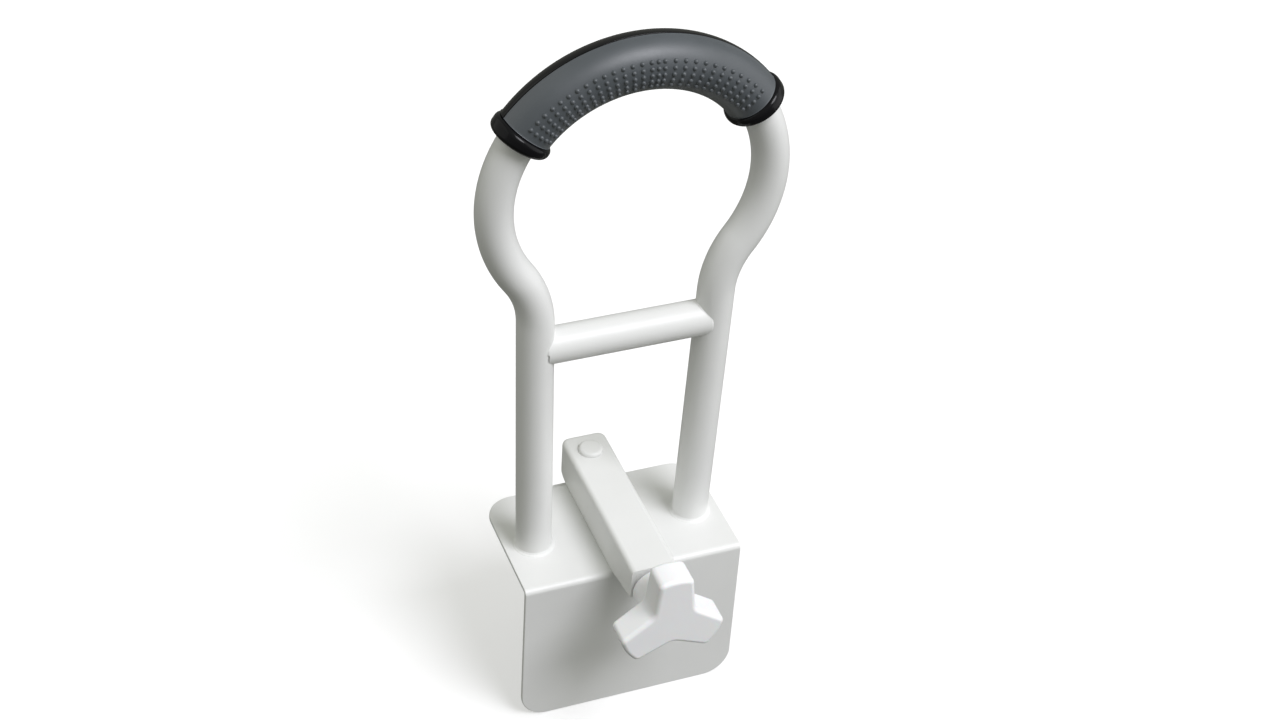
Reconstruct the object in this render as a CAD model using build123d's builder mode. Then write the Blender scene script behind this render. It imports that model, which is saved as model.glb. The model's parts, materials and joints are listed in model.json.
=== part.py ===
"""Bed assist rail: a keyhole-shaped handle on a bracket that clamps to a bed's side rail.

Frame: +X to the right, +Y to the rear (into the bed), +Z up.
Origin: mid-width of the bracket's inner corner, where the flange's inner face meets the
top plate's underside. The top front edge of the bed's side rail lies there.
All sizes are in millimetres.
"""
from build123d import *
from math import atan2, cos, degrees, radians, sin, sqrt, tan
import os

os.makedirs("parts", exist_ok=True)

# ---------------------------------------------------------------- driving dimensions

# mounting plate: a bent sheet, with a top plate and a front flange
sheet = 3.0
plate_width = 158.0
plate_depth = 96.0
flange_drop = 119.5
bend_radius = 4.0
corner_radius = 20.0
plate_top = sheet
flange_front = -sheet
plate_rear = plate_depth - sheet

# handle: one round tube, bent into a keyhole loop in the plane y = handle_y
tube_radius = 12.5
tube_wall = 2.0
handle_y = 42.0
foot_spacing = 116.0
splay = 1.35
bend_start = 196.0
neck_radius = 69.0
loop_radius = 92.0
crossbar_height = 175.0
weld_reach = 3.5
weld_fullness = 0.62
overlap = 1.0
foot_trim = 2.0
crossbar_radius = 12.4

# grip: a shell, a core and a pad round the top of the loop, between two collars
grip_half_angle = 52.4
grip_bore = tube_radius + 0.15
core_radius = 15.4
grip_radius = 18.0
shell_radius = 18.4
pad_half_wrap = 98.0
grip_joint = 1.0
collar_radius = 20.3
collar_width = 9.0
collar_gap = 0.15
collar_rounding = 3.6

# clamp arm: an inverted channel that slides over the plate along Y
arm_width = 32.5
arm_wall = 3.0
arm_top = 33.5
arm_front = -35.5
arm_rear = 108.5
arm_gap = 0.4
arm_edge_radius = 3.5
arm_corner_radius = 6.0
front_lift = 10.5
rear_lift = 13.0

# clamp screw, on an axis parallel to Y
screw_height = 17.5
screw_radius = 5.0
tip_radius = 4.0
running_gap = 0.05
hole_gap = 0.2
screw_start = -62.5
screw_shoulder = 3.0
screw_end = 32.0
groove_front = 25.3
washer_radius = 9.0
bead = 2.5
nut_flats = 17.0
nut_length = 8.0
block_front = 5.0
block_rear = 25.0
block_top = 28.0
block_gap = 0.4
small_chamfer = 0.7
clip_thickness = 1.0
clip_radius = 7.5
clip_opening = 5.4
groove_radius = 3.2

# knob: three lobes and a round hub
knob_tip_radius = 37.5
knob_tip_half_angle = 18.5
knob_waist = 17.0
knob_waist_rounding = 9.0
knob_corner_radius = 4.5
knob_rim_radius = 3.0
hub_rim_radius = 2.0
knob_front = -74.0
knob_back = -53.0
hub_radius = 16.0
hub_end = -37.0
insert_radius = 8.0
insert_front = -64.0

# rear jaw, hung from the arm by the post bolt
post_y = 90.0
post_radius = 4.0
post_head_radius = 8.7
post_head_height = 3.1
post_head_rounding = 2.3
spacer_radius = 7.0
post_end = -17.0
jaw_top = -0.8
notch_width = 15.0
notch_margin = 2.0
rail_depth = 55.8
jaw_sheet = 4.0
jaw_width = 60.0
jaw_drop = 42.0
pad_thickness = 3.0
pad_inset = 3.0
pad_edge = 0.6
jaw_corner_radius = 8.0
rivet_radius = 2.5
rivet_head_radius = 4.0
rivet_head_height = 1.3
rivet_spacing = 34.0
rivet_height = -24.0
post_washer_thickness = 1.6
lock_nut_flats = 13.0
lock_nut_length = 7.5

# ---------------------------------------------------------------- worked-out places

foot_half = foot_spacing / 2
foot_start = foot_half - tan(radians(splay)) * foot_trim
bend_half = foot_half + tan(radians(splay)) * (bend_start - plate_top)
neck_centre_x = bend_half + neck_radius * cos(radians(splay))
neck_centre_z = bend_start - neck_radius * sin(radians(splay))
loop_z = neck_centre_z + sqrt((loop_radius + neck_radius) ** 2 - neck_centre_x ** 2)
neck_to_loop = atan2(loop_z - neck_centre_z, neck_centre_x)
join_x = loop_radius * cos(neck_to_loop)
join_z = loop_z - loop_radius * sin(neck_to_loop)
neck_mid_angle = (neck_to_loop + radians(splay)) / 2
neck_mid_x = neck_centre_x - neck_radius * cos(neck_mid_angle)
neck_mid_z = neck_centre_z + neck_radius * sin(neck_mid_angle)
collar_angle = degrees(collar_width / loop_radius)
crossbar_half = foot_half + tan(radians(splay)) * (crossbar_height - plate_top)
screw_y_axis = Axis((0, 0, screw_height), (0, 1, 0))
loop_axis = Axis((0, handle_y, loop_z), (0, 1, 0))
arm_inner_half = arm_width / 2 - arm_wall
arm_inner_top = arm_top - arm_wall
arm_bottom = plate_top + arm_gap
block_half = arm_inner_half - block_gap
block_weld_half = block_half - overlap
jaw_face = rail_depth + pad_thickness
groove_rear = groove_front + clip_thickness + 2 * running_gap


def finish(builder, label):
    """Label a finished piece and write its STEP file."""
    builder.part.label = label
    export_step(builder.part, f"parts/{label}.step")


def finish_pair(builder, label):
    """Finish a right-hand piece, and its mirror image on the left."""
    with BuildPart() as mirrored:
        mirror(builder.part, about=Plane.YZ)
    finish(builder, f"{label}_right")
    finish(mirrored, f"{label}_left")


def facing_front(y):
    """A plane square to Y at the given y: its x is +X, its y is +Z, and it faces -Y."""
    return Plane(origin=(0, y, 0), x_dir=(1, 0, 0), z_dir=(0, -1, 0))


def loop_section(angle):
    """A plane across the loop at an angle right of its top: x is outward, y is to the front."""
    turn = radians(angle)
    return Plane(
        origin=(0, handle_y, loop_z),
        x_dir=(sin(turn), 0, cos(turn)),
        z_dir=(cos(turn), 0, -sin(turn)),
    )


def upright_plane(side, height):
    """A plane across one upright at a height: side is -1 for the left one, +1 for the right."""
    lean = radians(splay)
    half_spacing = foot_half + tan(lean) * (height - plate_top)
    return Plane(
        origin=(side * half_spacing, handle_y, height),
        x_dir=(cos(lean), 0, -side * sin(lean)),
        z_dir=(side * sin(lean), 0, cos(lean)),
    )


# ---------------------------------------------------------------- mounting plate

with BuildPart() as mounting_plate:
    with BuildSketch(Plane.YZ.offset(-plate_width / 2)) as angle_profile:
        with BuildLine():
            Polyline(
                (0, -flange_drop),
                (flange_front, -flange_drop),
                (flange_front, plate_top),
                (plate_rear, plate_top),
                (plate_rear, 0),
                (0, 0),
                close=True,
            )
        make_face()
        outer_corner = angle_profile.vertices().group_by(Axis.Y)[-1].sort_by(Axis.X)[0]
        fillet(outer_corner, bend_radius)
    extrude(amount=plate_width)
    bottom_edges = mounting_plate.edges().filter_by(Axis.Y).group_by(Axis.Z)[0]
    fillet(bottom_edges, corner_radius)
    rear_edges = mounting_plate.edges().filter_by(Axis.Z).group_by(Axis.Y)[-1]
    fillet(rear_edges, corner_radius)
    with BuildSketch(Plane.XY):
        with Locations((0, post_y - notch_margin)):
            Circle(notch_width / 2)
            Rectangle(notch_width, 2 * notch_width, align=(Align.CENTER, Align.MIN))
    extrude(amount=plate_top, mode=Mode.SUBTRACT)
finish(mounting_plate, "mounting_plate")

# ---------------------------------------------------------------- handle

with BuildPart() as handle_tube:
    with BuildLine(facing_front(handle_y)) as keyhole:
        Line((foot_start, plate_top - foot_trim), (bend_half, bend_start))
        ThreePointArc((bend_half, bend_start), (neck_mid_x, neck_mid_z), (join_x, join_z))
        ThreePointArc((join_x, join_z), (0, loop_z + loop_radius), (-join_x, join_z))
        ThreePointArc((-join_x, join_z), (-neck_mid_x, neck_mid_z), (-bend_half, bend_start))
        Line((-bend_half, bend_start), (-foot_start, plate_top - foot_trim))
    with BuildSketch(upright_plane(1, plate_top - foot_trim)):
        Circle(tube_radius)
        Circle(tube_radius - tube_wall, mode=Mode.SUBTRACT)
    sweep(path=keyhole.wire())
    with Locations((0, handle_y, plate_top)):
        Box(
            plate_width,
            4 * tube_radius,
            2 * foot_trim,
            align=(Align.CENTER, Align.CENTER, Align.MAX),
            mode=Mode.SUBTRACT,
        )
finish(handle_tube, "handle_tube")

with BuildPart() as upright_envelope:
    for side in (-1, 1):
        with BuildSketch(upright_plane(side, plate_top - foot_trim)):
            Circle(tube_radius)
        extrude(amount=bend_start)

with BuildPart() as crossbar_tube:
    with BuildSketch(Plane.YZ.offset(-crossbar_half)):
        with Locations((handle_y, crossbar_height)):
            Circle(crossbar_radius)
            Circle(crossbar_radius - tube_wall, mode=Mode.SUBTRACT)
    extrude(amount=2 * crossbar_half)
    add(upright_envelope.part, mode=Mode.SUBTRACT)
finish(crossbar_tube, "crossbar_tube")

foot_section = Plane(origin=(foot_half, handle_y, plate_top), x_dir=(1, 0, 0), z_dir=(0, -1, 0))
with BuildPart() as upright_weld:
    with BuildSketch(foot_section):
        with BuildLine():
            Line((0, 0), (tube_radius + weld_reach, 0))
            ThreePointArc(
                (tube_radius + weld_reach, 0),
                (tube_radius + weld_fullness * weld_reach, weld_fullness * weld_reach),
                (tube_radius - overlap, weld_reach),
            )
            Line((tube_radius - overlap, weld_reach), (0, weld_reach))
            Line((0, weld_reach), (0, 0))
        make_face()
    revolve(axis=Axis((foot_half, handle_y, 0), (0, 0, 1)))
    add(upright_envelope.part, mode=Mode.SUBTRACT)
finish_pair(upright_weld, "upright_weld")

with BuildPart() as crossbar_weld:
    with BuildSketch(Plane.YZ.offset(crossbar_half)):
        with Locations((handle_y, crossbar_height)):
            Circle(crossbar_radius + weld_reach / 2)
            Circle(crossbar_radius, mode=Mode.SUBTRACT)
    extrude(amount=-2 * tube_radius)
    with BuildSketch(upright_plane(1, plate_top)):
        Circle(tube_radius + weld_reach / 2)
    extrude(amount=bend_start, mode=Mode.INTERSECT)
    add(upright_envelope.part, mode=Mode.SUBTRACT)
finish_pair(crossbar_weld, "crossbar_weld")

# ---------------------------------------------------------------- grip

grip_layers = (
    ("grip_front_core", grip_bore, core_radius, 90, pad_half_wrap - grip_joint),
    ("grip_pad", core_radius, grip_radius, 90, pad_half_wrap),
    ("grip_rear_shell", grip_bore, shell_radius, 270, 180 - pad_half_wrap - grip_joint),
)
for label, inner, outer, middle, half_wrap in grip_layers:
    with BuildPart() as grip_layer:
        with BuildSketch(loop_section(-grip_half_angle)):
            with BuildLine():
                outer_arc = CenterArc((loop_radius, 0), outer, middle - half_wrap, 2 * half_wrap)
                inner_arc = CenterArc((loop_radius, 0), inner, middle - half_wrap, 2 * half_wrap)
                Line(outer_arc @ 0, inner_arc @ 0)
                Line(outer_arc @ 1, inner_arc @ 1)
            make_face()
        revolve(axis=loop_axis, revolution_arc=2 * grip_half_angle)
    finish(grip_layer, label)

with BuildPart() as grip_collar:
    with BuildSketch(loop_section(grip_half_angle + collar_gap)):
        with Locations((loop_radius, 0)):
            Circle(collar_radius)
    revolve(axis=loop_axis, revolution_arc=collar_angle)
    fillet(grip_collar.edges(), collar_rounding)
    with BuildSketch(loop_section(grip_half_angle)):
        with Locations((loop_radius, 0)):
            Circle(grip_bore)
    revolve(axis=loop_axis, revolution_arc=2 * collar_angle, mode=Mode.SUBTRACT)
finish_pair(grip_collar, "grip_collar")

# ---------------------------------------------------------------- clamp arm

with BuildPart() as clamp_arm:
    with BuildSketch(Plane.YZ.offset(-arm_width / 2)):
        with BuildLine():
            Polyline(
                (plate_rear, arm_bottom),
                (0, arm_bottom),
                (arm_front, front_lift),
                (arm_front, arm_top),
                (arm_rear, arm_top),
                (arm_rear, rear_lift),
            )
            TangentArc((plate_rear, arm_bottom), (arm_rear, rear_lift), tangent=(1, 0))
        make_face()
    extrude(amount=arm_width)
    fillet(clamp_arm.edges().filter_by(Axis.Z).group_by(Axis.Y)[-1], arm_corner_radius)
    top_edges = clamp_arm.faces().sort_by(Axis.Z)[-1].edges().sort_by(Axis.Y)
    fillet(top_edges[1:], arm_edge_radius)
    with BuildSketch(Plane.XY) as arm_hollow:
        with Locations((0, arm_front)):
            Rectangle(
                2 * arm_inner_half,
                arm_rear - arm_wall - arm_front,
                align=(Align.CENTER, Align.MIN),
            )
        fillet(arm_hollow.vertices().group_by(Axis.Y)[-1], arm_corner_radius - arm_wall)
    extrude(amount=arm_inner_top, mode=Mode.SUBTRACT)
    with Locations((0, post_y, arm_top)):
        Hole(post_radius + running_gap)
finish(clamp_arm, "clamp_arm")

with BuildPart() as arm_end_plate:
    with BuildSketch(facing_front(arm_front + arm_wall)):
        with Locations((0, front_lift)):
            Rectangle(
                2 * arm_inner_half,
                arm_inner_top - front_lift,
                align=(Align.CENTER, Align.MIN),
            )
        with Locations((0, screw_height)):
            Circle(screw_radius + 2 * hole_gap, mode=Mode.SUBTRACT)
    extrude(amount=arm_wall)
finish(arm_end_plate, "arm_end_plate")

with BuildPart() as clamp_nut:
    with BuildSketch(facing_front(arm_front + arm_wall + nut_length)):
        with Locations((0, screw_height)):
            RegularPolygon(nut_flats / 2, 6, major_radius=False)
            Circle(screw_radius + running_gap, mode=Mode.SUBTRACT)
    extrude(amount=nut_length)
finish(clamp_nut, "clamp_nut")

# ---------------------------------------------------------------- screw and its bearing in the plate

with BuildPart() as clamp_screw:
    with BuildSketch(Plane.YZ):
        with BuildLine():
            Polyline(
                (screw_start, screw_height),
                (screw_start, screw_height + screw_radius),
                (screw_shoulder, screw_height + screw_radius),
                (screw_shoulder, screw_height + tip_radius),
                (groove_front, screw_height + tip_radius),
                (groove_front, screw_height + groove_radius),
                (groove_rear, screw_height + groove_radius),
                (groove_rear, screw_height + tip_radius),
                (screw_end, screw_height + tip_radius),
                (screw_end, screw_height),
                close=True,
            )
        make_face()
    revolve(axis=screw_y_axis)
    chamfer(clamp_screw.edges().group_by(Axis.Y)[-1], small_chamfer)
finish(clamp_screw, "clamp_screw")

with BuildPart() as screw_clip:
    with BuildSketch(facing_front(groove_rear - running_gap)):
        with Locations((0, screw_height)):
            Circle(clip_radius)
            Circle(groove_radius + running_gap, mode=Mode.SUBTRACT)
        with Locations((0, screw_height - clip_radius)):
            Rectangle(clip_opening, 2 * clip_radius, mode=Mode.SUBTRACT)
    extrude(amount=clip_thickness)
finish(screw_clip, "screw_clip")

with BuildPart() as guide_block:
    with BuildSketch(facing_front(block_rear)):
        with Locations((0, plate_top)):
            Rectangle(2 * block_half, block_top - plate_top, align=(Align.CENTER, Align.MIN))
    extrude(amount=block_rear - block_front)
    chamfer(guide_block.edges().filter_by(Axis.Y).group_by(Axis.Z)[-1], 2 * small_chamfer)
    with BuildSketch(facing_front(block_rear)):
        with Locations((0, screw_height)):
            Circle(tip_radius + running_gap)
    extrude(amount=block_rear - block_front, mode=Mode.SUBTRACT)
finish(guide_block, "guide_block")

with BuildPart() as guide_block_weld:
    with BuildSketch(Plane.YZ.offset(-block_weld_half)):
        for wall, outwards in ((block_front, -1), (block_rear, 1)):
            with BuildLine():
                Polyline(
                    (wall, plate_top),
                    (wall + outwards * bead, plate_top),
                    (wall, plate_top + bead),
                    close=True,
                )
            make_face()
    extrude(amount=2 * block_weld_half)
finish(guide_block_weld, "guide_block_weld")

with BuildPart() as thrust_washer:
    with BuildSketch(facing_front(block_front - running_gap)):
        with Locations((0, screw_height)):
            Circle(washer_radius)
            Circle(tip_radius + hole_gap, mode=Mode.SUBTRACT)
    extrude(amount=block_front - screw_shoulder - 2 * running_gap)
finish(thrust_washer, "thrust_washer")

# ---------------------------------------------------------------- knob


def knob_point(radius, angle):
    """A point of the knob's outline, as x and z, at a radius and an angle from +X."""
    turn = radians(angle)
    return (radius * cos(turn), screw_height + radius * sin(turn))


with BuildPart() as knob_body:
    with BuildSketch(facing_front(knob_back)) as lobes:
        with BuildLine():
            for lobe_angle in (90, 210, 330):
                tip_start = knob_point(knob_tip_radius, lobe_angle - knob_tip_half_angle)
                tip_middle = knob_point(knob_tip_radius, lobe_angle)
                tip_end = knob_point(knob_tip_radius, lobe_angle + knob_tip_half_angle)
                waist = knob_point(knob_waist, lobe_angle + 60)
                next_tip = knob_point(knob_tip_radius, lobe_angle + 120 - knob_tip_half_angle)
                ThreePointArc(tip_start, tip_middle, tip_end)
                Polyline(tip_end, waist, next_tip)
        make_face()
        fillet(lobes.vertices().sort_by_distance((0, screw_height))[3:], knob_corner_radius)
        fillet(lobes.vertices().sort_by_distance((0, screw_height))[:3], knob_waist_rounding)
    extrude(amount=knob_back - knob_front)
    fillet(knob_body.edges().group_by(Axis.Y)[0], knob_rim_radius)
    fillet(knob_body.edges().group_by(Axis.Y)[-1], knob_rim_radius)
    with BuildSketch(facing_front(hub_end)):
        with Locations((0, screw_height)):
            Circle(hub_radius)
    extrude(amount=hub_end - knob_back + knob_rim_radius)
    fillet(knob_body.edges().group_by(Axis.Y)[-1], hub_rim_radius)
    with BuildSketch(facing_front(hub_end)):
        with Locations((0, screw_height)):
            Circle(insert_radius)
    extrude(amount=hub_end - insert_front, mode=Mode.SUBTRACT)
finish(knob_body, "knob_body")

with BuildPart() as knob_insert:
    with BuildSketch(facing_front(hub_end)):
        with Locations((0, screw_height)):
            Circle(insert_radius)
            Circle(screw_radius, mode=Mode.SUBTRACT)
    extrude(amount=hub_end - insert_front)
    chamfer(knob_insert.edges().group_by(Axis.Y)[-1], small_chamfer)
finish(knob_insert, "knob_insert")

# ---------------------------------------------------------------- rear jaw, hung from the arm

with BuildPart() as post_bolt:
    with BuildSketch(Plane.XY.offset(arm_top)):
        with Locations((0, post_y)):
            Circle(post_head_radius)
    extrude(amount=post_head_height)
    fillet(post_bolt.edges().group_by(Axis.Z)[-1], post_head_rounding)
    with BuildSketch(Plane.XY.offset(arm_top)):
        with Locations((0, post_y)):
            Circle(post_radius)
    extrude(amount=-(arm_top - post_end))
finish(post_bolt, "post_bolt")

with BuildPart() as post_spacer:
    with BuildSketch(Plane.XY.offset(jaw_top)):
        with Locations((0, post_y)):
            Circle(spacer_radius)
            Circle(post_radius + hole_gap, mode=Mode.SUBTRACT)
    extrude(amount=arm_inner_top - jaw_top)
finish(post_spacer, "post_spacer")

with BuildPart() as rear_jaw:
    with BuildSketch(Plane.YZ.offset(-jaw_width / 2)) as jaw_profile:
        with BuildLine():
            Polyline(
                (jaw_face, jaw_top),
                (post_y + washer_radius, jaw_top),
                (post_y + washer_radius, jaw_top - jaw_sheet),
                (jaw_face + jaw_sheet, jaw_top - jaw_sheet),
                (jaw_face + jaw_sheet, -jaw_drop),
                (jaw_face, -jaw_drop),
                close=True,
            )
        make_face()
        fillet(jaw_profile.vertices().group_by(Axis.Y)[-1].sort_by(Axis.X)[0], jaw_sheet)
    extrude(amount=jaw_width)
    fillet(rear_jaw.edges().filter_by(Axis.Y).group_by(Axis.Z)[0], jaw_corner_radius)
    fillet(rear_jaw.edges().filter_by(Axis.Z).group_by(Axis.Y)[-1], jaw_corner_radius)
    with Locations((0, post_y, jaw_top)):
        Hole(post_radius + hole_gap)
    with BuildSketch(facing_front(jaw_face + jaw_sheet)):
        with Locations((0, rivet_height)):
            with GridLocations(rivet_spacing, 0, 2, 1):
                Circle(rivet_radius + running_gap)
    extrude(amount=jaw_sheet, mode=Mode.SUBTRACT)
finish(rear_jaw, "rear_jaw")

with BuildPart() as jaw_pad:
    with BuildSketch(facing_front(jaw_face)) as pad_outline:
        with Locations((0, jaw_top - pad_inset)):
            Rectangle(
                jaw_width - 2 * pad_inset,
                jaw_drop + jaw_top - 2 * pad_inset,
                align=(Align.CENTER, Align.MAX),
            )
        fillet(pad_outline.vertices(), jaw_corner_radius - pad_inset)
        with Locations((0, rivet_height)):
            with GridLocations(rivet_spacing, 0, 2, 1):
                Circle(rivet_head_radius + hole_gap, mode=Mode.SUBTRACT)
    extrude(amount=pad_thickness)
    chamfer(jaw_pad.faces().sort_by(Axis.Y)[0].outer_wire().edges(), pad_edge)
finish(jaw_pad, "jaw_pad")

rivet_steps = (
    (jaw_face, rivet_head_radius, rivet_head_height),
    (jaw_face + jaw_sheet, rivet_radius, jaw_sheet),
    (jaw_face + jaw_sheet + rivet_head_height, rivet_head_radius, rivet_head_height),
)
with BuildPart() as jaw_rivets:
    for step_rear, step_radius, step_length in rivet_steps:
        with BuildSketch(facing_front(step_rear)):
            with Locations((0, rivet_height)):
                with GridLocations(rivet_spacing, 0, 2, 1):
                    Circle(step_radius)
        extrude(amount=step_length)
finish(jaw_rivets, "jaw_rivets")

with BuildPart() as post_washer:
    with BuildSketch(Plane.XY.offset(jaw_top - jaw_sheet)):
        with Locations((0, post_y)):
            Circle(washer_radius)
            Circle(post_radius + hole_gap, mode=Mode.SUBTRACT)
    extrude(amount=-post_washer_thickness)
finish(post_washer, "post_washer")

with BuildPart() as post_lock_nut:
    with BuildSketch(Plane.XY.offset(jaw_top - jaw_sheet - post_washer_thickness)):
        with Locations((0, post_y)):
            RegularPolygon(lock_nut_flats / 2, 6, major_radius=False)
            Circle(post_radius, mode=Mode.SUBTRACT)
    extrude(amount=-lock_nut_length)
finish(post_lock_nut, "post_lock_nut")
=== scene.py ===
"""Bed assist rail: the visual model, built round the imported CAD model.

Places come from the boxes of the CAD nodes, in the same frame: +X right, +Y to the rear,
+Z up. Lengths are in metres, and angles are in radians except where a comment says degrees.
"""

import json
from math import atan2, cos, pi, radians, sin, sqrt, tan

import bmesh
import bpy
from mathutils import Matrix, Vector, noise


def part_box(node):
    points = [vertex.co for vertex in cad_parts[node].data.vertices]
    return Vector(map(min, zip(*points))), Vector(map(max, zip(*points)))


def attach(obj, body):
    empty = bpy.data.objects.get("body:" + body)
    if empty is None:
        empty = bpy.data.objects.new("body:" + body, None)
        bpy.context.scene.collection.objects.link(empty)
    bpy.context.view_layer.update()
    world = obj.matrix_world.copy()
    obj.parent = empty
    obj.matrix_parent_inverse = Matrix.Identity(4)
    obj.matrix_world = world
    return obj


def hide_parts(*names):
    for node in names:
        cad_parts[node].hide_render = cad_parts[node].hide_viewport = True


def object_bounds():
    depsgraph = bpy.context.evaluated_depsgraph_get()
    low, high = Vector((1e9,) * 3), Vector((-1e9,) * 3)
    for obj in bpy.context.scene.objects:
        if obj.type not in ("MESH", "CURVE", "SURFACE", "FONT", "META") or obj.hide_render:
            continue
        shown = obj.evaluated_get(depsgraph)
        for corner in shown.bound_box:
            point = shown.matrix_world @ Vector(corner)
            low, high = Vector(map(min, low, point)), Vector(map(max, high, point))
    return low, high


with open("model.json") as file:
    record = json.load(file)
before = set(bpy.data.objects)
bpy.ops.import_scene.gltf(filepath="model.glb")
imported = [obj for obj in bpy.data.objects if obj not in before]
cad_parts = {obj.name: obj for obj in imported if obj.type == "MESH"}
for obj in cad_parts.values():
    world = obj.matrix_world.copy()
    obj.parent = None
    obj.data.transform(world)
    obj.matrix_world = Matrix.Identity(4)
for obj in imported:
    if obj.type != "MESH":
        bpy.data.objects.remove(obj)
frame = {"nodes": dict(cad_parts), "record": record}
cad_low, cad_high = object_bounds()
scene = bpy.context.scene
MM = 0.001

# ------------------------------------------------------------------ places from the CAD

tube_low, tube_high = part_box("handle_tube")
plate_low, plate_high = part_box("mounting_plate")
foot_low, foot_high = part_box("upright_weld_right")
bar_low, bar_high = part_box("crossbar_tube")
screw_low, screw_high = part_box("clamp_screw")
jaw_pad_low, jaw_pad_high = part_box("jaw_pad")
rivets_low, rivets_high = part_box("jaw_rivets")
pad_front_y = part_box("grip_pad")[0].y
shell_rear_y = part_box("grip_rear_shell")[1].y
hub_rear_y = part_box("knob_body")[1].y

tube_radius = (tube_high.y - tube_low.y) / 2
handle_y = (tube_high.y + tube_low.y) / 2
plate_top = plate_high.z
loop_radius = tube_high.x - tube_radius
loop_z = tube_high.z - tube_radius - loop_radius
foot_half = (foot_low.x + foot_high.x) / 2
crossbar_z = (bar_low.z + bar_high.z) / 2
crossbar_radius = (bar_high.z - bar_low.z) / 2
screw_z = (screw_low.z + screw_high.z) / 2

# how the CAD's tube is bent, and how far its grip reaches each way from the loop's top
splay = radians(1.35)
neck_radius = 69 * MM
bend_start_z = 196 * MM
grip_half_angle = radians(52.4)


# ------------------------------------------------------------------ materials


def node_builder(owner):
    """Empties a material's or world's node tree, and returns a function that adds a node."""
    owner.use_nodes = True
    tree = owner.node_tree
    tree.nodes.clear()

    def add(kind, inputs=None, **settings):
        node = tree.nodes.new(kind)
        for key, value in settings.items():
            setattr(node, key, value)
        for key, value in (inputs or {}).items():
            if isinstance(value, bpy.types.NodeSocket):
                tree.links.new(value, node.inputs[key])
            else:
                node.inputs[key].default_value = value
        return node

    return add


def grey_noise(add, coordinates, size, detail=2.0):
    """A noise pattern whose features are about the given size across."""
    return add(
        "ShaderNodeTexNoise",
        {"Vector": coordinates, "Scale": 1 / size, "Detail": detail},
    ).outputs["Fac"]


def spread_to(add, value, low, high, low_in=0.3, high_in=0.7):
    """Maps a value from one range to another. The first is that of a noise pattern."""
    return add(
        "ShaderNodeMapRange",
        {"Value": value, "From Min": low_in, "From Max": high_in, "To Min": low, "To Max": high},
    ).outputs["Result"]


def finish_material(
    name,
    base,
    tint,
    roughness,
    patch=40 * MM,
    grain=1.2 * MM,
    grain_depth=0.02 * MM,
    fine=0.25 * MM,
    fine_depth=0.0,
    metallic=0.0,
    sheen=0.0,
    specular=0.5,
    subsurface=0.0,
):
    """A finish with drifting colour, uneven gloss, and a surface grain at one or two scales.

    base and tint are the two colours that it drifts between, patch is the size of its
    patches of colour, and roughness is its lowest and highest value.
    """
    material = bpy.data.materials.new(name)
    add = node_builder(material)
    place = add("ShaderNodeTexCoord").outputs["Object"]
    drift = spread_to(add, grey_noise(add, place, patch, 3.0), 0, 1)
    speckle = spread_to(add, grey_noise(add, place, grain, 3.0), 0, 1)
    # the mix node's sockets for colours: 0 is the factor, 6 and 7 are what it mixes
    mixed = add(
        "ShaderNodeMix",
        {0: drift, 6: (*base, 1), 7: (*tint, 1)},
        data_type="RGBA",
    )
    both = add("ShaderNodeMath", {0: drift, 1: speckle}, operation="ADD").outputs[0]
    rough = spread_to(add, both, roughness[0], roughness[1], low_in=0.2, high_in=1.8)
    bump = add(
        "ShaderNodeBump",
        {"Height": speckle, "Strength": 1.0, "Distance": grain_depth},
    )
    if fine_depth:
        grit = spread_to(add, grey_noise(add, place, fine, 1.0), 0, 1)
        bump = add(
            "ShaderNodeBump",
            {
                "Height": grit,
                "Strength": 1.0,
                "Distance": fine_depth,
                "Normal": bump.outputs["Normal"],
            },
        )
    shader = add(
        "ShaderNodeBsdfPrincipled",
        {
            "Base Color": mixed.outputs[2],
            "Roughness": rough,
            "Metallic": metallic,
            "Normal": bump.outputs["Normal"],
            "Sheen Weight": sheen,
            "Sheen Roughness": 0.5,
            "Specular IOR Level": specular,
            "Subsurface Weight": subsurface,
            "Subsurface Scale": 2 * MM,
        },
    )
    add("ShaderNodeOutputMaterial", {"Surface": shader.outputs["BSDF"]})
    return material


powder = finish_material(
    "off_white_powder",
    (0.755, 0.76, 0.75),
    (0.782, 0.787, 0.775),
    (0.34, 0.46),
    patch=60 * MM,
    grain=1.6 * MM,
    grain_depth=0.012 * MM,
    specular=0.42,
)
knob_plastic = finish_material(
    "knob_plastic",
    (0.87, 0.875, 0.89),
    (0.89, 0.895, 0.905),
    (0.42, 0.52),
    patch=30 * MM,
    grain=0.5 * MM,
    grain_depth=0.012 * MM,
    subsurface=0.12,
)
gloss_black = finish_material(
    "gloss_black",
    (0.003, 0.003, 0.004),
    (0.006, 0.006, 0.007),
    (0.12, 0.20),
    patch=25 * MM,
    grain=2.5 * MM,
    grain_depth=0.006 * MM,
    specular=0.18,
)
soft_grey = finish_material(
    "soft_grey",
    (0.054, 0.064, 0.073),
    (0.068, 0.078, 0.088),
    (0.42, 0.52),
    patch=30 * MM,
    grain=0.9 * MM,
    grain_depth=0.010 * MM,
    fine=0.2 * MM,
    fine_depth=0.006 * MM,
    sheen=0.1,
    specular=0.8,
)
black_rubber = finish_material(
    "jaw_rubber",
    (0.020, 0.020, 0.021),
    (0.032, 0.032, 0.033),
    (0.65, 0.85),
    patch=12 * MM,
    grain=0.6 * MM,
    grain_depth=0.03 * MM,
)
zinc = finish_material(
    "bright_zinc",
    (0.60, 0.61, 0.63),
    (0.70, 0.69, 0.66),
    (0.22, 0.38),
    patch=8 * MM,
    grain=0.5 * MM,
    grain_depth=0.01 * MM,
    metallic=1.0,
)
brass = finish_material(
    "turned_brass",
    (0.72, 0.53, 0.24),
    (0.78, 0.60, 0.30),
    (0.22, 0.36),
    patch=6 * MM,
    grain=0.4 * MM,
    grain_depth=0.008 * MM,
    metallic=1.0,
)
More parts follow.
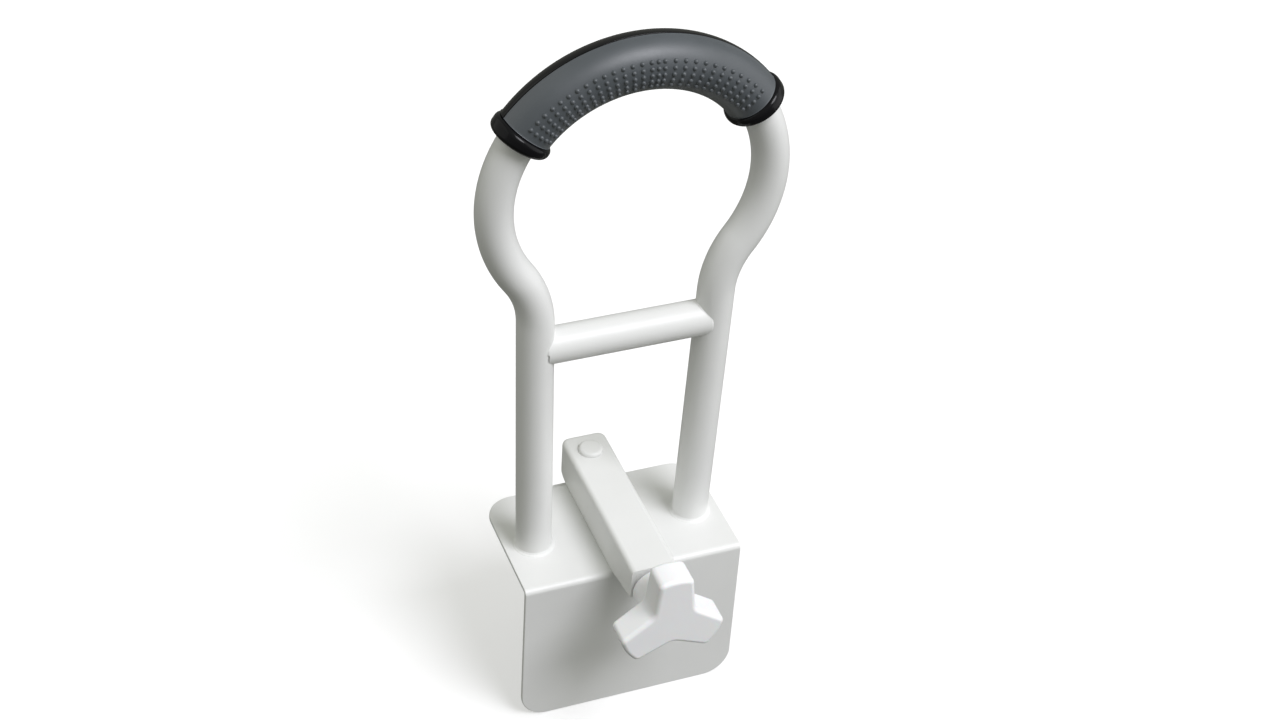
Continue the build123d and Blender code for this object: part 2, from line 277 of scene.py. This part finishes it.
finishes = {
    "powder_coat": powder,
    "white_plastic": knob_plastic,
    "black_plastic": gloss_black,
    "grey_rubber": soft_grey,
    "black_rubber": black_rubber,
    "zinc_steel": zinc,
    "brass": brass,
}
slot_of_node = {row["node"]: row["material_slot"] for row in frame["record"]["subparts"]}

for node_name, node in frame["nodes"].items():
    node.data.materials.clear()
    node.data.materials.append(finishes[slot_of_node[node_name]])


# ------------------------------------------------------------------ making pieces


def make_piece(name, body, mesh, stands_for, sharp_angle=35):
    """Turns a mesh into a shown piece that rides on a body in place of CAD nodes.

    Edges where its faces meet at more than sharp_angle, in degrees, are shaded sharp.
    """
    mesh.shade_smooth()
    mesh.set_sharp_from_angle(angle=radians(sharp_angle))
    slot = slot_of_node[stands_for[0]]
    mesh.materials.clear()
    mesh.materials.append(finishes[slot])
    piece = bpy.data.objects.new(name, mesh)
    scene.collection.objects.link(piece)
    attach(piece, body)
    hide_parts(*stands_for)
    return piece


def flatten_shading(piece):
    """Keeps a piece's large flat faces evenly lit right up to their rounded edges."""
    weighted = piece.modifiers.new("flat faces", "WEIGHTED_NORMAL")
    weighted.keep_sharp = True


def mesh_of(bm, name):
    """Finishes a bmesh: outward normals, and a mesh data block."""
    bmesh.ops.recalc_face_normals(bm, faces=bm.faces)
    mesh = bpy.data.meshes.new(name)
    bm.to_mesh(mesh)
    bm.free()
    return mesh


def skin(bm, rings, closed=False):
    """Joins neighbouring rings of points with quads. Open runs of rings get end caps."""
    rows = [[bm.verts.new(point) for point in ring] for ring in rings]
    count = len(rows[0])
    pairs = list(zip(rows, rows[1:]))
    if closed:
        pairs.append((rows[-1], rows[0]))
    for first, second in pairs:
        for i in range(count):
            j = (i + 1) % count
            bm.faces.new((first[i], first[j], second[j], second[i]))
    if not closed:
        bm.faces.new(rows[0])
        bm.faces.new(rows[-1][::-1])


def round_edges(bm, width, segments, sharper_than):
    """Rounds every edge of a closed bmesh whose faces meet at more than an angle in degrees."""
    bm.normal_update()
    sharp = radians(sharper_than)
    inner = [edge for edge in bm.edges if len(edge.link_faces) == 2]
    edges = [edge for edge in inner if edge.calc_face_angle(0) > sharp]
    bmesh.ops.bevel(
        bm,
        geom=edges,
        offset=width,
        offset_type="OFFSET",
        segments=segments,
        profile=0.5,
        affect="EDGES",
        clamp_overlap=True,
    )


def cut_away(mesh, cutter):
    """Subtracts one closed mesh from another, and returns the result."""
    body = bpy.data.objects.new("body", mesh)
    tool = bpy.data.objects.new("tool", cutter)
    scene.collection.objects.link(body)
    scene.collection.objects.link(tool)
    cut = body.modifiers.new("cut", "BOOLEAN")
    cut.operation = "DIFFERENCE"
    cut.object = tool
    evaluated = body.evaluated_get(bpy.context.evaluated_depsgraph_get())
    result = bpy.data.meshes.new_from_object(evaluated)
    for used in (body, tool):
        bpy.data.objects.remove(used)
    result.name = mesh.name
    return result


def body_of(node_name):
    """The body that a CAD node rides on."""
    for body, members in frame["record"]["behaviour"]["bodies"].items():
        if node_name in members:
            return body


def softened(node_name, width):
    """A copy of a CAD node's mesh with its sharp edges rounded, in place of the node."""
    bm = bmesh.new()
    bm.from_mesh(frame["nodes"][node_name].data)
    bmesh.ops.remove_doubles(bm, verts=bm.verts, dist=1e-6)
    bmesh.ops.dissolve_limit(bm, angle_limit=radians(0.3), verts=bm.verts, edges=bm.edges)
    round_edges(bm, width, segments=2, sharper_than=35)
    name = node_name + "_finished"
    piece = make_piece(name, body_of(node_name), mesh_of(bm, name), (node_name,))
    flatten_shading(piece)


# ------------------------------------------------------------------ handle tube


tube_step = 2.5 * MM
tube_around = 56
bend_flattening = 0.018
bend_bulge = 0.3 * bend_flattening


def upright_x(z):
    """How far the upright's centreline stands from the middle at a height."""
    return foot_half + tan(splay) * (z - plate_top)


def keyhole_half(step):
    """Points up the right half of the handle's centreline, as x, z and how strongly it bends.

    The strength is 0 on a straight run and 1 in a full bend. On the loop it fades in over
    the arc's first sixth.
    """
    bend_half = upright_x(bend_start_z)
    neck_x = bend_half + neck_radius * cos(splay)
    neck_z = bend_start_z - neck_radius * sin(splay)
    join = atan2(loop_z - neck_z, neck_x)
    points = []
    run = bend_start_z - plate_top
    count = round(run / step)
    for i in range(count):
        share = i / count
        points.append((foot_half + (bend_half - foot_half) * share, plate_top + run * share, 0.0))
    count = round(neck_radius * (join - splay) / step)
    for i in range(count):
        angle = splay + (join - splay) * i / count
        strength = sin(pi * i / count)
        points.append(
            (neck_x - neck_radius * cos(angle), neck_z + neck_radius * sin(angle), strength)
        )
    sweep = join + pi / 2
    count = round(loop_radius * sweep / step)
    for i in range(count + 1):
        angle = -join + sweep * i / count
        strength = min(1.0, 6 * i / count)
        points.append((loop_radius * cos(angle), loop_z + loop_radius * sin(angle), strength))
    return points


def tube_rings(line):
    """Circles across a line in the plane y = handle_y, slightly flattened where it bends."""
    rings = []
    for i, (x, z, bend) in enumerate(line):
        before, after = line[max(i - 1, 0)], line[min(i + 1, len(line) - 1)]
        along = Vector((after[0] - before[0], 0, after[1] - before[1])).normalized()
        across = Vector((along.z, 0, -along.x))
        ring = []
        for k in range(tube_around):
            turn = 2 * pi * k / tube_around
            out = tube_radius * (1 - bend_flattening * bend) * cos(turn)
            side = tube_radius * (1 + bend_bulge * bend) * sin(turn)
            ring.append(Vector((x, handle_y, z)) + across * out + Vector((0, side, 0)))
        rings.append(ring)
    return rings


right_half = keyhole_half(tube_step)
left_half = [(-x, z, bend) for x, z, bend in right_half[:-1]]
centreline = left_half + right_half[::-1]
handle = bmesh.new()
skin(handle, tube_rings(centreline))
make_piece("handle", "bracket", mesh_of(handle, "handle"), ("handle_tube",))

# ------------------------------------------------------------------ crossbar

bar_blunt_x = 56 * MM
bar_overlap = 0.3 * MM
bar_around = 64
bar_lengths = 24


def saddle_point(turn):
    """A point of the bar's end, turn round from the top: a saddle on the upright's skin.

    The saddle's thin tips, in front and behind, are cut off square.
    """
    y = crossbar_radius * sin(turn)
    z = crossbar_z + crossbar_radius * cos(turn)
    x = upright_x(z) - sqrt(max(tube_radius ** 2 - y ** 2, 0.0))
    return min(x, bar_blunt_x), y, z


crossbar = bmesh.new()
bar_rings = []
for i in range(bar_lengths + 1):
    share = -1 + 2 * i / bar_lengths
    ring = []
    for k in range(bar_around):
        x, y, z = saddle_point(2 * pi * k / bar_around)
        ring.append((share * (x + bar_overlap), handle_y + y, z))
    bar_rings.append(ring)
skin(crossbar, bar_rings)
make_piece("crossbar", "bracket", mesh_of(crossbar, "crossbar"), ("crossbar_tube",))

# ------------------------------------------------------------------ weld beads


# a bead's size is a steady share of its reach or radius, and a share that ripples
bead_steps = 220
scale_drop = 0.22
unevenness = 0.25
lumps = 3

foot_reach = 0.75 * ((foot_high.x - foot_low.x) / 2 - tube_radius)
foot_steady = 0.82
foot_ripple = 0.14
foot_scales = 36
foot_bead_points = 9
foot_hollow = 0.42
foot_into_tube = 0.4 * MM
foot_into_plate = 0.2 * MM

bar_bead_radius = 1.1 * MM
bar_bead_width = 1.4
bar_bead_points = 12
bar_steady = 0.75
bar_ripple = 0.25
bar_scales = 40
bar_bead_shift = 0.4 * MM
least_sunk = 0.3
turn_ahead = 0.01
slit_start = radians(205)
slit_end = radians(275)
slit_size = 0.3


def ripple(turn, count, seed):
    """A weld bead's height along its run: small overlapping scales, and a slow unevenness."""
    phase = (turn * count / (2 * pi)) % 1.0
    scale = 1.0 - scale_drop * phase
    slow = noise.noise(Vector((lumps * cos(turn), lumps * sin(turn), seed)))
    return scale + unevenness * slow


def foot_bead(name, side, node_name):
    """The weld bead round an upright's foot: a hollow fillet from the tube to the plate."""
    tube_side = tube_radius - foot_into_tube
    centre = Vector((side * foot_half, handle_y, plate_top))
    rings = []
    for i in range(bead_steps):
        turn = 2 * pi * i / bead_steps
        uneven = ripple(turn, foot_scales, seed=7.0 * side)
        size = foot_reach * (foot_steady + foot_ripple * uneven)
        outward = Vector((cos(turn), sin(turn), 0))
        ring = []
        for k in range(foot_bead_points):
            sweep = pi / 2 * k / (foot_bead_points - 1)
            hollow = 1 - foot_hollow * sin(2 * sweep)
            out = tube_side + (size + foot_into_tube) * hollow * cos(sweep)
            up = -foot_into_plate + (size + foot_into_plate) * hollow * sin(sweep)
            ring.append(centre + outward * out + Vector((0, 0, up)))
        ring.append(centre + outward * tube_side + Vector((0, 0, -foot_into_plate)))
        rings.append(ring)
    bm = bmesh.new()
    skin(bm, rings, closed=True)
    make_piece(name, "bracket", mesh_of(bm, name), (node_name,), sharp_angle=60)


def bar_bead(name, side, node_name):
    """The weld bead along the saddle where the crossbar meets an upright.

    The left one leaves a thin slit open, low on the bar's front.
    """
    rings = []
    for i in range(bead_steps):
        turn = 2 * pi * i / bead_steps
        x, y, z = saddle_point(turn)
        x_ahead, y_ahead, z_ahead = saddle_point(turn + turn_ahead)
        x_back, y_back, z_back = saddle_point(turn - turn_ahead)
        along = Vector((x_ahead - x_back, y_ahead - y_back, z_ahead - z_back)).normalized()
        out = Vector((0, sin(turn), cos(turn)))
        across = along.cross(out).normalized()
        uneven = ripple(turn, bar_scales, seed=11.0 * side)
        size = bar_bead_radius * (bar_steady + bar_ripple * uneven)
        if side < 0 and slit_start < turn < slit_end:
            size = slit_size * size
        sunk = bar_bead_radius * (least_sunk + (1 - least_sunk) * abs(sin(turn)))
        centre = Vector((x + bar_bead_shift, handle_y + y, z)) - out * sunk
        ring = []
        for k in range(bar_bead_points):
            angle = 2 * pi * k / bar_bead_points
            wide = bar_bead_width * size * sin(angle)
            point = centre + out * size * cos(angle) + across * wide
            ring.append(Vector((side * point.x, point.y, point.z)))
        rings.append(ring)
    bm = bmesh.new()
    skin(bm, rings, closed=True)
    make_piece(name, "bracket", mesh_of(bm, name), (node_name,), sharp_angle=60)


for side, word in ((-1, "left"), (1, "right")):
    foot_bead(f"foot_bead_{word}", side, f"upright_weld_{word}")
    bar_bead(f"bar_bead_{word}", side, f"crossbar_weld_{word}")

# ------------------------------------------------------------------ mounting plate

# the plate's underside lies at z = 0, so its top is at the sheet's thickness
sheet = plate_top
outer_bend = 4 * MM
plate_corner = 20 * MM
notch_radius = 7.5 * MM
notch_y = 88 * MM
flange_run = plate_top - outer_bend - plate_low.z
bend_run = outer_bend * pi / 2
top_run = plate_high.y - (plate_low.y + outer_bend)
edge_radius = 0.7 * MM
corner_steps = 14
notch_steps = 20
bend_steps = 10


def bent(u, v, depth):
    """A point of the bent sheet: u across, v up the flange and back along the top, depth in."""
    radius = outer_bend - depth
    if v <= flange_run:
        return Vector((u, plate_low.y + depth, plate_low.z + v))
    if v <= flange_run + bend_run:
        turn = (v - flange_run) / outer_bend
        centre_y, centre_z = plate_low.y + outer_bend, plate_top - outer_bend
        return Vector((u, centre_y - radius * cos(turn), centre_z + radius * sin(turn)))
    return Vector((u, plate_low.y + outer_bend + v - flange_run - bend_run, plate_top - depth))


def rounded_corner(centre_u, centre_v, radius, start, end, count):
    """Points along an arc of the flat sheet's outline, between two angles in degrees."""
    points = []
    for i in range(count + 1):
        turn = radians(start + (end - start) * i / count)
        points.append((centre_u + radius * cos(turn), centre_v + radius * sin(turn)))
    return points


full_run = flange_run + bend_run + top_run
notch_v = full_run - (plate_high.y - notch_y)
inner = plate_high.x - plate_corner
rear = full_run - plate_corner
outline = rounded_corner(inner, plate_corner, plate_corner, -90, 0, corner_steps)
outline += rounded_corner(inner, rear, plate_corner, 0, 90, corner_steps)
outline += [(notch_radius, full_run)]
outline += rounded_corner(0, notch_v, notch_radius, 0, -180, notch_steps)
outline += [(-notch_radius, full_run)]
outline += rounded_corner(-inner, rear, plate_corner, 90, 180, corner_steps)
outline += rounded_corner(-inner, plate_corner, plate_corner, 180, 270, corner_steps)

plate = bmesh.new()
plate.faces.new([plate.verts.new((u, v, 0)) for u, v in outline])
for i in range(bend_steps + 1):
    cut_v = flange_run + bend_run * i / bend_steps
    geometry = plate.verts[:] + plate.edges[:] + plate.faces[:]
    bmesh.ops.bisect_plane(plate, geom=geometry, plane_co=(0, cut_v, 0), plane_no=(0, 1, 0))
thick = bmesh.ops.extrude_face_region(plate, geom=plate.faces[:])
for vertex in [v for v in thick["geom"] if isinstance(v, bmesh.types.BMVert)]:
    vertex.co.z = sheet
for vertex in plate.verts:
    vertex.co = bent(vertex.co.x, vertex.co.y, vertex.co.z)
round_edges(plate, edge_radius, segments=3, sharper_than=40)
plate_piece = make_piece(
    "plate", "bracket", mesh_of(plate, "plate"), ("mounting_plate",), sharp_angle=30
)
flatten_shading(plate_piece)

# ------------------------------------------------------------------ grip


def loop_point(angle, out, front):
    """A point round the loop: its angle right of the top, and its offset from the centreline."""
    radial = Vector((sin(angle), 0, cos(angle)))
    return Vector((0, handle_y, loop_z)) + radial * (loop_radius + out) + Vector((0, -front, 0))


def around_tube(angle, radius, wrap):
    """A point round the tube. wrap is in degrees: 0 faces the front, and 90 faces outwards."""
    return loop_point(angle, radius * sin(radians(wrap)), radius * cos(radians(wrap)))


def loop_shell(inner_radius, profile, middle, half_wrap, across):
    """A closed bmesh of part of the grip's cover, with a number of faces across.

    profile gives its outer radius at a share, from -1 to 1, of the way across it. It
    reaches half_wrap degrees each way from its middle.
    """
    bm = bmesh.new()
    rings = []
    for i in range(grip_lengths + 1):
        angle = -grip_half_angle + 2 * grip_half_angle * i / grip_lengths
        ring = []
        for k in range(across + 1):
            share = -1 + 2 * k / across
            ring.append(around_tube(angle, profile(share), middle + half_wrap * share))
        for k in range(across, -1, -1):
            share = -1 + 2 * k / across
            ring.append(around_tube(angle, inner_radius, middle + half_wrap * share))
        rings.append(ring)
    skin(bm, rings)
    return bm


# wraps are in degrees. The pad's skin lies a little inside the CAD's, for the rims to rise.
grip_lengths = 120
pad_radius = handle_y - pad_front_y
pad_middle_wrap = -5
pad_wrap = 93
core_radius = 15.4 * MM
pad_below = 0.1 * MM
rim_height = 0.35 * MM
rim_wrap = 4.0


def pad_profile(share):
    """The pad's outer radius: a thin raised rim runs along both of its long edges."""
    from_edge = (1 - abs(share)) * pad_wrap
    raised = max(0.0, 1 - from_edge / rim_wrap)
    return pad_radius - pad_below + rim_height * sqrt(raised)


pad = loop_shell(core_radius, pad_profile, pad_middle_wrap, pad_wrap, across=128)
round_edges(pad, 0.35 * MM, segments=2, sharper_than=50)

# the rows are wraps, and the columns are degrees right of the loop's top
nub_radius = 1.5 * MM
nub_height = 1.5 * MM
nub_levels = 5
nub_sides = 14
nub_flat = 0.02
nub_rows = [26.8 - 13.4 * i for i in range(5)]
left_columns = [-48.75 + 3.45 * i for i in range(15)]
right_columns = [4.5 + 3.88 * i for i in range(12)]
middle_column = 2.1
nub_columns = left_columns + [middle_column] + right_columns


def add_nub(bm, angle, wrap):
    """A small rounded nub on the pad, closed underneath and with a tiny flat on top."""
    centre = around_tube(angle, pad_radius - pad_below, wrap)
    up = (centre - loop_point(angle, 0, 0)).normalized()
    along = Vector((cos(angle), 0, -sin(angle)))
    side = up.cross(along)
    rings = []
    for level in range(nub_levels):
        rise = level / (nub_levels - 1)
        radius = nub_radius * sqrt(max(1 - rise ** 2, nub_flat))
        ring = []
        for k in range(nub_sides):
            turn = 2 * pi * k / nub_sides
            flat_place = along * cos(turn) + side * sin(turn)
            ring.append(centre + flat_place * radius + up * (nub_height * rise - pad_below))
        rings.append(ring)
    skin(bm, rings)


for wrap in nub_rows:
    for angle in nub_columns:
        add_nub(pad, radians(angle), wrap)
pad_piece = make_piece(
    "soft_pad", "bracket", mesh_of(pad, "soft_pad"), ("grip_pad",), sharp_angle=50
)

shell_radius = shell_rear_y - handle_y
shell_gap = 0.15 * MM
seam_wrap = 1
shell = loop_shell(
    tube_radius + shell_gap,
    lambda share: shell_radius,
    180 + pad_middle_wrap,
    180 - pad_wrap - seam_wrap,
    across=64,
)
round_edges(shell, 0.8 * MM, segments=4, sharper_than=50)
make_piece(
    "rear_shell", "bracket", mesh_of(shell, "rear_shell"), ("grip_rear_shell",), sharp_angle=50
)

# ------------------------------------------------------------------ clamp screw

screw_radius = screw_high.x
tip_radius = 4 * MM
shoulder_y = 3 * MM
groove = (25.3 * MM, 26.4 * MM)
groove_radius = 3.2 * MM
thread_pitch = 1.5 * MM
thread_depth = 0.85 * MM
thread_in_hub = 3 * MM
thread_start = hub_rear_y - thread_in_hub
thread_end = shoulder_y - thread_pitch
thread_step = 0.15 * MM
flank_slope = 1.3
crest_flat = 0.15
shoulder_bevel = 0.4 * MM
tip_bevel = 0.7 * MM


def thread_radius(y, turn):
    """The threaded rod's radius: a rounded 60 degree thread that fades out at both ends."""
    phase = (y / thread_pitch - turn / (2 * pi)) % 1.0
    crest = 1 - abs(2 * phase - 1)
    cut = min(1.0, max(0.0, flank_slope * (1 - crest) - crest_flat))
    fade_in = min(1.0, max(0.0, (y - thread_start) / MM))
    fade_out = min(1.0, max(0.0, (thread_end - y) / MM))
    return screw_radius - thread_depth * cut * (fade_in * fade_out)


def turned_rings(sections, around):
    """Rings of a body turned about the screw's axis, from (y, radius or function) pairs."""
    rings = []
    for y, radius in sections:
        ring = []
        for k in range(around):
            turn = 2 * pi * k / around
            size = radius(y, turn) if callable(radius) else radius
            ring.append((size * sin(turn), y, screw_z + size * cos(turn)))
        rings.append(ring)
    return rings


sections = [(screw_low.y, screw_radius)]
steps = round((thread_end - thread_start) / thread_step)
for i in range(steps + 1):
    sections.append((thread_start + (thread_end - thread_start) * i / steps, thread_radius))
sections += [
    (shoulder_y - shoulder_bevel, screw_radius),
    (shoulder_y, screw_radius - shoulder_bevel),
    (shoulder_y, tip_radius),
    (groove[0], tip_radius),
    (groove[0], groove_radius),
    (groove[1], groove_radius),
    (groove[1], tip_radius),
    (screw_high.y - tip_bevel, tip_radius),
    (screw_high.y, tip_radius - tip_bevel),
]
spindle = bmesh.new()
skin(spindle, turned_rings(sections, around=40))
spindle_mesh = mesh_of(spindle, "threaded_spindle")
make_piece("threaded_spindle", "knob", spindle_mesh, ("clamp_screw",), sharp_angle=40)

# ------------------------------------------------------------------ jaw pad

rib_count = 13
rib_depth = 0.8 * MM
edge_inset = 0.6 * MM
pad_corner = 5 * MM
rib_steps = 12
rivet_head = 4 * MM
pad_middle = (jaw_pad_low + jaw_pad_high) / 2
pad_half = (jaw_pad_high - jaw_pad_low) / 2
pocket_radius = 4.2 * MM
pocket_sides = 32
rivet_x = rivets_high.x - rivet_head
rivet_z = (rivets_low.z + rivets_high.z) / 2


def pad_outline(height):
    """Half the width of the pad's rounded outline, at a height above its middle."""
    corner_z = pad_half.z - pad_corner
    inset = 0.0
    if abs(height) > corner_z:
        inset = pad_corner - sqrt(max(pad_corner ** 2 - (abs(height) - corner_z) ** 2, 0.0))
    return pad_half.x - inset


ribbed = bmesh.new()
rows = []
row_count = rib_count * rib_steps
for i in range(row_count + 1):
    height = -pad_half.z + 2 * pad_half.z * i / row_count
    half = pad_outline(min(abs(height), 0.9999 * pad_half.z))
    wave = 0.5 + 0.5 * cos(2 * pi * rib_count * i / row_count)
    front_y = jaw_pad_low.y + rib_depth * wave ** 2
    ring = []
    for share in (-1, -0.97, -0.5, 0, 0.5, 0.97, 1):
        inset = edge_inset if abs(share) == 1 else 0.0
        ring.append((pad_middle.x + share * half, front_y + inset, pad_middle.z + height))
    ring.append((pad_middle.x + half, jaw_pad_high.y, pad_middle.z + height))
    ring.append((pad_middle.x - half, jaw_pad_high.y, pad_middle.z + height))
    rows.append(ring)
skin(ribbed, rows)
pockets = bmesh.new()
for side in (-1, 1):
    circles = []
    for y in (jaw_pad_low.y - MM, jaw_pad_high.y + MM):
        circle = []
        for k in range(pocket_sides):
            turn = 2 * pi * k / pocket_sides
            x = side * rivet_x + pocket_radius * cos(turn)
            circle.append((x, y, rivet_z + pocket_radius * sin(turn)))
        circles.append(circle)
    skin(pockets, circles)
pad_mesh = cut_away(mesh_of(ribbed, "ribbed_jaw_pad"), mesh_of(pockets, "pockets"))
make_piece("ribbed_jaw_pad", "arm", pad_mesh, ("jaw_pad",), sharp_angle=40)

# ------------------------------------------------------------------ metal parts with broken edges

for node_name, width in (
    ("clamp_arm", 0.5 * MM),
    ("arm_end_plate", 0.4 * MM),
    ("guide_block", 0.5 * MM),
    ("post_bolt", 0.3 * MM),
    ("rear_jaw", 0.6 * MM),
    ("clamp_nut", 0.4 * MM),
    ("post_lock_nut", 0.4 * MM),
    ("post_washer", 0.2 * MM),
    ("thrust_washer", 0.2 * MM),
    ("post_spacer", 0.3 * MM),
    ("jaw_rivets", 0.4 * MM),
    ("knob_insert", 0.2 * MM),
):
    softened(node_name, width)

# ------------------------------------------------------------------ floor, light and camera

floor_reach = 12
floor_patch = 0.4


def floor_finish():
    """A pale matte floor that glows a little, so that the shadow on it stays light."""
    material = bpy.data.materials.new("pale_floor")
    add = node_builder(material)
    cloudy = grey_noise(add, add("ShaderNodeTexCoord").outputs["Object"], floor_patch)
    shader = add(
        "ShaderNodeBsdfPrincipled",
        {
            "Base Color": spread_to(add, cloudy, low=0.60, high=0.62),
            "Roughness": 0.8,
            "Specular IOR Level": 0.1,
            "Emission Color": (1, 1, 1, 1),
            "Emission Strength": 0.42,
        },
    )
    add("ShaderNodeOutputMaterial", {"Surface": shader.outputs["BSDF"]})
    return material


def studio_world():
    """Soft light from all round, stronger from above. The camera sees it as plain white."""
    world = bpy.data.worlds.new("studio")
    add = node_builder(world)
    direction = add("ShaderNodeTexCoord").outputs["Generated"]
    height = add("ShaderNodeSeparateXYZ", {"Vector": direction}).outputs["Z"]
    ambient = spread_to(add, height, low=0.13, high=0.42, low_in=-0.6, high_in=0.8)
    light = add("ShaderNodeBackground", {"Color": (0.98, 1.0, 0.90, 1), "Strength": ambient})
    backdrop = add("ShaderNodeBackground", {"Color": (1, 1, 1, 1), "Strength": 1.0})
    seen = add("ShaderNodeLightPath").outputs["Is Camera Ray"]
    blend = add("ShaderNodeMixShader", {0: seen, 1: light.outputs[0], 2: backdrop.outputs[0]})
    add("ShaderNodeOutputWorld", {"Surface": blend.outputs["Shader"]})
    return world


floor_bm = bmesh.new()
bmesh.ops.create_grid(floor_bm, x_segments=1, y_segments=1, size=floor_reach)
floor_mesh = bpy.data.meshes.new("floor")
floor_bm.to_mesh(floor_mesh)
floor_bm.free()
floor = bpy.data.objects.new("floor", floor_mesh)
floor.location = (0, 0, cad_low.z)
scene.collection.objects.link(floor)
floor.data.materials.append(floor_finish())
floor.visible_diffuse = False
floor.visible_glossy = False


def sun_light(name, towards, strength, width, colour):
    """A soft distant light: towards points from the object to it, and width is in degrees."""
    data = bpy.data.lights.new(name, "SUN")
    data.energy = strength
    data.angle = radians(width)
    data.color = colour
    light = bpy.data.objects.new(name, data)
    light.rotation_euler = Vector(towards).to_track_quat("Z", "Y").to_euler()
    scene.collection.objects.link(light)


sun_light("key", (0.28, -0.50, 0.82), 2.42, 30, (0.95, 0.945, 1.0))
sun_light("side", (0.88, -0.36, 0.28), 1.0, 70, (0.98, 0.98, 1.0))
sun_light("far_side", (-0.80, 0.35, 0.45), 0.5, 80, (1.0, 1.0, 0.98))

scene.world = studio_world()

camera_data = bpy.data.cameras.new("camera")
camera_data.sensor_width = 36
camera_data.lens = 65.14
camera_data.clip_start = 0.01
camera_data.clip_end = 100
camera = bpy.data.objects.new("camera", camera_data)
camera_place = Vector((-0.46739, -1.06120, 1.09570))
camera_right = Vector((0.93239, -0.35707, 0.05604))
camera_up = Vector((0.18059, 0.59454, 0.78353))
camera_back = camera_right.cross(camera_up)
camera.matrix_world = Matrix.Translation(camera_place) @ Matrix(
    (camera_right, camera_up, camera_back)
).transposed().to_4x4()
scene.collection.objects.link(camera)
scene.camera = camera
scene.view_settings.view_transform = "Standard"
